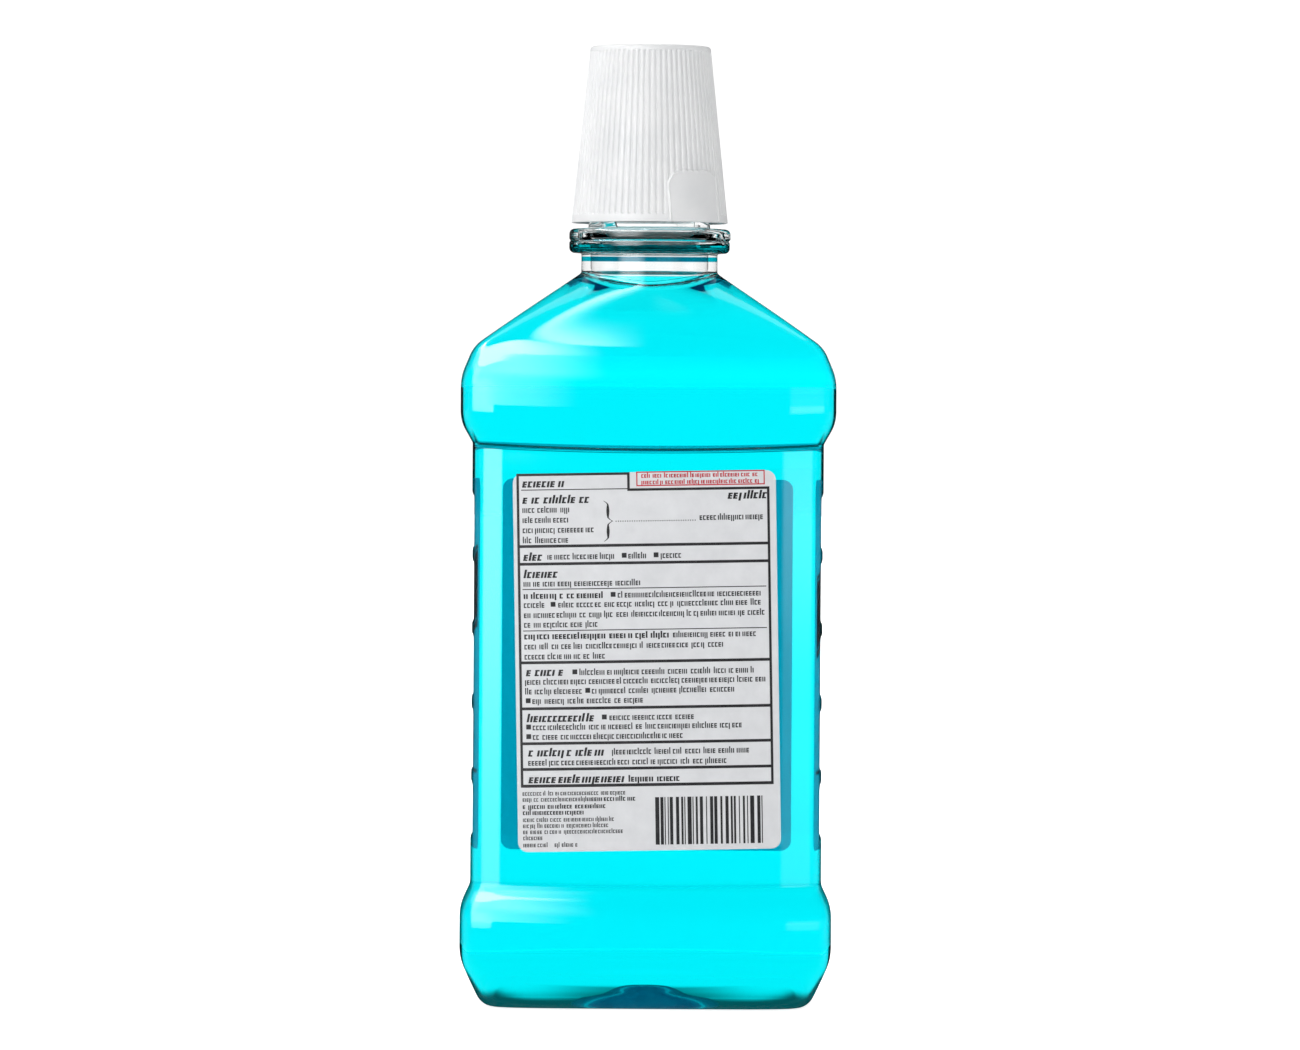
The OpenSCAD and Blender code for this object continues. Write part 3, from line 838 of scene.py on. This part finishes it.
liner = mesh_object("sealing_ring_foam", *liner_mesh(), sharp=None)


def foil_mesh():
    """A foil disc with a heat-seal bead over the lip and a fine embossed field inside it."""
    profile = []
    for i in range(48):
        r = 0.5 + 0.3 * i
        lift = 0.0
        if r < 12.6:
            lift = -0.05 * (0.5 + 0.5 * math.cos(r * 5.2))
        elif 13.4 < r < 14.9:
            lift = -0.08 * smooth(1 - abs(r - 14.15) / 0.7)
        profile.append((r, LIP_Z + 0.2 + lift))
    for r, up in ((15.02, 0.18), (15.1, 0.1), (15.02, 0.01), (13.0, 0.0)):
        profile.append((r, LIP_Z + up))
    rings = [list(reversed(r)) for r in circles(profile, TURNED)]
    return loft(rings, (0, 0, LIP_Z + 0.15), (0, 0, LIP_Z))


foil = mesh_object("mouth_seal_foil", *foil_mesh(), sharp=60)


# Materials
def material(name):
    m = bpy.data.materials.new(name)
    m.use_nodes = True
    tree = m.node_tree
    return m, tree, tree.nodes["Principled BSDF"], tree.nodes["Material Output"]


def put(bsdf, **values):
    """Sets inputs; an underscore stands for a space."""
    for name, value in values.items():
        bsdf.inputs[name.replace("_", " ")].default_value = value


def maths(tree, kind, *values):
    """A math node. Each value is a number or another node's output."""
    n = tree.nodes.new("ShaderNodeMath")
    n.operation = kind
    for i, v in enumerate(values):
        if isinstance(v, float):
            n.inputs[i].default_value = v
        else:
            tree.links.new(v, n.inputs[i])
    return n.outputs["Value"]


def eased(tree, source, start, end, low, high, kind="SMOOTHSTEP"):
    """low up to start, high from end on, and a fade between them."""
    n = tree.nodes.new("ShaderNodeMapRange")
    n.interpolation_type = kind
    for key, v in (("From Min", start), ("From Max", end), ("To Min", low), ("To Max", high)):
        n.inputs[key].default_value = v
    tree.links.new(source, n.inputs["Value"])
    return n.outputs["Result"]


def place(tree, space="Object"):
    """The x, y and z outputs of the place in the object, or of the direction in the world."""
    at = tree.nodes.new("ShaderNodeTexCoord")
    split = tree.nodes.new("ShaderNodeSeparateXYZ")
    tree.links.new(at.outputs[space], split.inputs["Vector"])
    return (split.outputs[k] for k in "XYZ")


def noise(tree, scale, detail=3.0, rough=0.55, stretch=None):
    at = tree.nodes.new("ShaderNodeTexCoord").outputs["Object"]
    if stretch:
        m = tree.nodes.new("ShaderNodeMapping")
        m.inputs["Scale"].default_value = stretch
        tree.links.new(at, m.inputs["Vector"])
        at = m.outputs["Vector"]
    n = tree.nodes.new("ShaderNodeTexNoise")
    put(n, Scale=scale, Detail=detail, Roughness=rough)
    tree.links.new(at, n.inputs["Vector"])
    return n.outputs["Fac"]


def ranged(tree, source, low, high):
    """A noise's usual values laid on low to high."""
    return eased(tree, source, 0.3, 0.7, low, high, "LINEAR")


def mixed(tree, share, a, b):
    """A mix of two colours; the first one may be another node's output."""
    m = tree.nodes.new("ShaderNodeMix")
    m.data_type = "RGBA"
    tree.links.new(share, m.inputs["Factor"])
    if isinstance(a, tuple):
        m.inputs["A"].default_value = a
    else:
        tree.links.new(a, m.inputs["A"])
    m.inputs["B"].default_value = b
    return m.outputs["Result"]


def tinted(tree, source, low, high):
    return mixed(tree, ranged(tree, source, 0.0, 1.0), (*low, 1), (*high, 1))


def bump(tree, source, bsdf, distance):
    b = tree.nodes.new("ShaderNodeBump")
    put(b, Distance=distance, Strength=0.5)
    tree.links.new(source, b.inputs["Height"])
    tree.links.new(b.outputs["Normal"], bsdf.inputs["Normal"])


def height_band(tree, low, high, rise, sag):
    """1 between two heights in mm, fading to 0 outside. It climbs to the back by rise for each mm
    and sags in the middle of the width."""
    soft = 0.2
    x, y, z = place(tree)
    level = maths(tree, "MULTIPLY_ADD", y, -rise, z)
    square = maths(tree, "MULTIPLY", x, x)
    level = maths(tree, "MULTIPLY_ADD", square, -sag * MM / (HALF_W * MM) ** 2, level)
    low, high = low - sag, high - sag
    over = eased(tree, level, (low - soft) * MM, low * MM, 0.0, 1.0)
    under = eased(tree, level, high * MM, (high + soft) * MM, 1.0, 0.0)
    return maths(tree, "MULTIPLY", over, under)


NO_MIRROR = (0.0, 0.0, 0.0, 1.0)


def clear_body(name="clear_body_plastic", wet=False):
    """Clear plastic. The wet inner face has next to no mirror of its own: the liquid's index is
    close to the plastic's."""
    m, t, p, _ = material(name)
    if wet:
        p.inputs["Specular Tint"].default_value = NO_MIRROR
    n = noise(t, 60.0, 2.0)
    tone = tinted(t, n, (0.985, 0.995, 0.99), (1.0, 1.0, 1.0))
    # painted shade and painted reflection: teal bands in the plastic's colour stand in for the
    # liquid's colour seen in the neck ring and for dark shade lines at the waist ledge and the
    # groove
    neck, fold_shade, groove_shade = (0.0, 0.42, 0.52, 1.0), (0.05, 0.41, 0.5, 1.0), (0.62, 0.9, 0.93, 1.0)
    for low, high, rise, sag, tint in (
        (RING_Z + 0.3, RING_Z + 2.2, 0.0205, 0.0, neck),
        (RING_Z - 2.2, RING_Z - 1.1, 0.0205, 0.0, neck),
        (WAIST_Z - 0.1, WAIST_Z + 0.35, -0.0045, WAIST_DIP, fold_shade),
        (WAIST_Z + 0.95, WAIST_Z + 1.35, -0.0045, WAIST_DIP, fold_shade),
        (PANEL_Z - 0.1, PANEL_Z + 0.2, -0.056, GROOVE_DIP, groove_shade),
    ):
        tone = mixed(t, height_band(t, low, high, rise, sag), tone, tint)
    t.links.new(tone, p.inputs["Base Color"])
    t.links.new(ranged(t, n, 0.0, 0.03), p.inputs["Roughness"])
    put(p, IOR=1.48, Transmission_Weight=1.0)
    bump(t, noise(t, 38.0, 1.0, 0.4, (1, 1, 0.5)), p, 0.00006)
    return m


def mouthwash():
    """The liquid: its colour is in its depth, and its outer face mirrors nothing in the wall."""
    m, t, p, out = material("mouthwash_liquid")
    tone = tinted(t, noise(t, 20.0, 1.0), (0.97, 1.0, 1.0), (1.0, 1.0, 1.0))
    t.links.new(tone, p.inputs["Base Color"])
    put(p, Roughness=0.0, Specular_Tint=NO_MIRROR, IOR=1.34, Transmission_Weight=1.0)
    v = t.nodes.new("ShaderNodeVolumeAbsorption")
    put(v, Color=(0.0, 0.9855, 0.9987, 1.0), Density=130.0)
    t.links.new(v.outputs["Volume"], out.inputs["Volume"])
    return m


def plain(name, low, high, rough, scale, grain, **more):
    """An even material between two colours, with a fine grain."""
    m, t, p, _ = material(name)
    n = noise(t, scale, 4.0, 0.6)
    t.links.new(tinted(t, n, low, high), p.inputs["Base Color"])
    t.links.new(ranged(t, n, rough - 0.05, rough + 0.05), p.inputs["Roughness"])
    put(p, IOR=1.46, **more)
    bump(t, noise(t, grain, 2.0), p, 0.00004)
    return m


def milky(weight):
    """White plastic that lets light in for a few millimetres."""
    radius = (0.004, 0.004, 0.004)
    return {"Subsurface_Weight": weight, "Subsurface_Radius": radius, "Subsurface_Scale": 0.3}


def paint(obj, mat, body, slot, *nodes):
    obj.data.materials.append(mat)
    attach(obj, body)
    if nodes:
        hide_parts(*nodes)


paint(bottle, clear_body(), "body", "clear_body", "bottle")
bottle.data.materials.append(clear_body("clear_body_wet_face", wet=True))
paint(liquid, mouthwash(), "body", "mouthwash", "liquid")
# the plate stands for real cloudy plastic; its blue glow is painted light that makes the base under
# the arch look teal
haze_and_glow = plain(
    "gate_haze_and_painted_glow", (0.12, 0.60, 0.85), (0.18, 0.72, 0.92), 0.6, 260.0, 1500.0,
    Emission_Color=(0.0, 0.5, 1.0, 1.0), Emission_Strength=0.11,
)
paint(gate_haze, haze_and_glow, "body", "clear_body")
film = plain("rear_film_white", (0.70, 0.71, 0.73), (0.76, 0.77, 0.79), 0.38, 220.0, 2600.0)
paint(rear_label, film, "body", "rear_film", "rear_label")
black = plain("label_ink_black", (0.01, 0.01, 0.012), (0.022, 0.022, 0.025), 0.42, 700.0, 4000.0)
paint(rear_ink, black, "body", "rear_film")
red = plain("label_ink_red", (0.50, 0.015, 0.03), (0.60, 0.03, 0.05), 0.42, 700.0, 4000.0)
paint(rear_red, red, "body", "rear_film")
front_film = plain(
    "front_film_blue", (0.24, 0.72, 0.94), (0.27, 0.76, 0.97), 0.35, 120.0, 2600.0,
    Transmission_Weight=0.7,
)
paint(front_label, front_film, "body", "front_film", "front_label")
deep = plain("label_ink_deep_blue", (0.01, 0.05, 0.20), (0.015, 0.07, 0.26), 0.4, 500.0, 4000.0)
paint(front_dark, deep, "body", "front_film")
pale = plain("label_ink_pale", (0.80, 0.86, 0.88), (0.88, 0.92, 0.93), 0.4, 500.0, 4000.0)
paint(front_pale, pale, "body", "front_film")
cap_white = plain(
    "cap_white_plastic", (0.80, 0.81, 0.82), (0.86, 0.865, 0.87), 0.42, 90.0, 3000.0, **milky(0.5)
)
paint(cap, cap_white, "cap", "cap_plastic", "cap_shell")
cup_white = plain(
    "cup_natural_plastic", (0.78, 0.79, 0.78), (0.84, 0.85, 0.84), 0.36, 70.0, 2500.0, **milky(0.2)
)
paint(cup, cup_white, "cap", "cup_plastic", "dosing_cup")
foam = plain("liner_foam", (0.74, 0.74, 0.70), (0.84, 0.84, 0.80), 0.8, 1800.0, 6000.0)
paint(liner, foam, "liner", "foam_ring", "sealing_ring")
metal = plain(
    "seal_foil", (0.78, 0.79, 0.80), (0.88, 0.88, 0.89), 0.28, 400.0, 5000.0, Metallic=1.0
)
paint(foil, metal, "body", "foil", "mouth_seal")


# Floor and light
def floor():
    """A plain pale disc that glows softly, more for the camera, so that it meets the backdrop. Its
    glow
    is weaker under the bottle: a painted shadow.
    """
    me = bpy.data.meshes.new("floor")
    n, level, rings = 96, -0.0002, (0.2, 0.6, 2.0, 12.0)
    turns = [2 * math.pi * j / n for j in range(n)]
    verts = [(0, 0, level)]
    for r in rings:
        verts += [(r * math.cos(a), r * math.sin(a), level) for a in turns]
    faces = [(0, 1 + j, 1 + (j + 1) % n) for j in range(n)]
    for i in range(len(rings) - 1):
        a, b = 1 + i * n, 1 + (i + 1) * n
        faces += [(a + j, b + j, b + (j + 1) % n, a + (j + 1) % n) for j in range(n)]
    me.from_pydata(verts, [], faces)
    obj = bpy.data.objects.new("studio_floor", me)
    bpy.context.scene.collection.objects.link(obj)
    m, t, p, _ = material("studio_floor_white")
    tone = tinted(t, noise(t, 3.0), (0.76, 0.76, 0.76), (0.78, 0.78, 0.78))
    t.links.new(tone, p.inputs["Base Color"])
    put(p, Roughness=0.7, Specular_IOR_Level=0.2, Emission_Color=(1.0, 1.0, 1.0, 1.0))
    at = t.nodes.new("ShaderNodeTexCoord")
    far = t.nodes.new("ShaderNodeVectorMath")
    far.operation = "LENGTH"
    t.links.new(at.outputs["Object"], far.inputs[0])
    ray = t.nodes.new("ShaderNodeLightPath")
    # painted shadow: less glow within 35 to 60 mm of the bottle's axis
    shadowed_near_glow = eased(t, far.outputs["Value"], 0.035, 0.06, 0.24, 0.36)
    far_glow = eased(t, far.outputs["Value"], 0.5, 2.0, 0.0, 0.25)
    for_camera = maths(t, "MULTIPLY", ray.outputs["Is Camera Ray"], 0.6)
    glow = maths(t, "ADD", maths(t, "ADD", shadowed_near_glow, far_glow), for_camera)
    t.links.new(glow, p.inputs["Emission Strength"])
    me.materials.append(m)
    obj.visible_glossy = False


floor()

# Strength of the backdrop as the camera sees it, and as it shows through the clear pieces
BACKDROP, SHOWN = 1.1, 1.06


def world():
    """A lit backdrop with dark surroundings, as clear things are photographed. What is seen through
    the plastic, what is mirrored in it and what lights the rest are set apart."""
    w = bpy.data.worlds.new("studio")
    bpy.context.scene.world = w
    w.use_nodes = True
    t = w.node_tree
    t.nodes.clear()
    x, y, z = place(t, "Generated")

    def ease(v, start, end, low, high):
        return eased(t, v, start, end, low, high)

    def chained(kind, values):
        out = values[0]
        for v in values[1:]:
            out = maths(t, kind, out, v)
        return out

    def product(*values):
        return chained("MULTIPLY", values)

    def total(*values):
        return chained("ADD", values)

    aside = maths(t, "ABSOLUTE", x)
    # behind the clear pieces: white, with a dark upright strip on each side and dark above
    strip = product(ease(aside, 0.68, 0.76, 0.0, 1.0), ease(aside, 0.94, 0.97, 1.0, 0.0))
    above = product(ease(z, 0.20, 0.30, 0.0, 0.9), ease(z, 0.45, 0.65, 1.0, 0.7))
    behind = ease(maths(t, "MAXIMUM", strip, above), 0.0, 1.0, SHOWN, 0.08)
    # mirrored: softboxes on the left for the panel and lower band, the upper band, the bevel and
    # the shoulder, and a low one on the right. They part at the heights that those faces mirror.
    front = ease(y, 0.25, 0.5, 1.0, 0.003)
    off_foot = ease(z, -0.0585, -0.0567, 0.0, 1.0)
    on_face = ease(x, -0.85, -0.68, 0.0, 1.0)
    side_box = product(
        ease(x, -0.275, -0.25, 6.0, 0.0), ease(z, -0.055, -0.013, 0.45, 1.0),
        ease(z, -0.003, 0.0, 1.0, 0.0), on_face, off_foot,
    )
    band_box = product(
        ease(x, -0.38, -0.10, 6.4, 1.4), ease(x, -0.16, -0.09, 1.0, 0.0), on_face,
        ease(z, -0.003, 0.0, 0.0, 1.0), ease(z, 0.2, 0.5, 1.0, 0.0),
    )
    bevel_box = product(
        ease(x, -0.17, -0.05, 5.5, 0.0), ease(x, -0.85, -0.65, 0.0, 1.0),
        ease(z, 0.2, 0.6, 0.0, 1.0),
        ease(z, 0.7175, 0.7245, 1.0, 3.0), ease(z, 0.80, 0.84, 1.0, 0.0),
    )
    shoulder_box = product(
        ease(x, -0.12, -0.075, 0.0, 10.5), ease(x, -0.085, 0.0, 1.0, 0.0),
        ease(z, 0.80, 0.84, 0.0, 1.0),
    )
    right_box = product(
        ease(x, 0.194, 0.207, 0.0, 2.1), ease(x, 0.68, 0.85, 1.0, 0.0),
        ease(z, -0.008, 0.004, 1.0, 0.2), ease(z, -0.035, -0.01, 0.35, 1.0),
        off_foot, ease(z, 0.05, 0.12, 1.0, 0.0),
    )
    glints = product(total(side_box, band_box, bevel_box, shoulder_box, right_box), front)
    # what lights the rest, from the left more than from the right
    lit = ease(x, -0.9, 0.9, 0.84, 0.56)
    ray = t.nodes.new("ShaderNodeLightPath")
    seen = ray.outputs["Is Camera Ray"]
    through = product(ray.outputs["Is Transmission Ray"], maths(t, "SUBTRACT", 1.0, seen))
    other = maths(t, "SUBTRACT", 1.0, maths(t, "MAXIMUM", seen, through))
    mirrored = product(ray.outputs["Is Glossy Ray"], other)
    spread = maths(t, "SUBTRACT", other, mirrored)
    strength = total(
        maths(t, "MULTIPLY", seen, BACKDROP), product(behind, through),
        product(glints, mirrored), product(lit, spread),
    )
    sky = t.nodes.new("ShaderNodeBackground")
    t.links.new(strength, sky.inputs["Strength"])
    sky.inputs["Color"].default_value = (1.0, 1.0, 1.0, 1.0)
    out = t.nodes.new("ShaderNodeOutputWorld")
    t.links.new(sky.outputs["Background"], out.inputs["Surface"])


world()


def softbox(name, spot, aim, size, watts):
    data = bpy.data.lights.new(name, "AREA")
    data.shape = "RECTANGLE"
    data.size, data.size_y = size
    data.energy = watts
    obj = bpy.data.objects.new(name, data)
    bpy.context.scene.collection.objects.link(obj)
    obj.location = spot
    obj.rotation_mode = "QUATERNION"
    obj.rotation_quaternion = (Vector(aim) - Vector(spot)).to_track_quat("-Z", "Y")


softbox("key_left", (-1.25, -1.05, 0.95), (0, 0, 0.16), (0.7, 1.1), 5.4)
softbox("overhead", (0.0, 0.9, 1.9), (0, 0, 0.1), (1.8, 1.0), 4.9)
softbox("rim_left", (-0.9, 0.6, 1.15), (0, 0, 0.18), (0.5, 0.5), 1.6)


def camera():
    """A long lens at the photograph's angle, with its slight roll."""
    data = bpy.data.cameras.new("camera")
    data.sensor_width = 36.0
    data.lens = 224.0
    data.clip_start, data.clip_end = 0.05, 60.0
    cam = bpy.data.objects.new("camera", data)
    bpy.context.scene.collection.objects.link(cam)
    spot, aim = Vector((0.0006, -2.2, 0.157)), Vector((0.0006, 0.0, 0.130))
    roll = math.radians(0.36)
    ahead = (aim - spot).normalized()
    level = ahead.cross(Vector((0, 0, 1))).normalized()
    upright = level.cross(ahead)
    right = level * math.cos(roll) + upright * math.sin(roll)
    up = upright * math.cos(roll) - level * math.sin(roll)
    rows = [(right[i], up[i], -ahead[i], spot[i]) for i in range(3)]
    cam.matrix_world = Matrix((*rows, (0, 0, 0, 1)))
    bpy.context.scene.camera = cam


camera()
bpy.context.scene.view_settings.view_transform = "Standard"
bpy.context.scene.view_settings.look = "None"
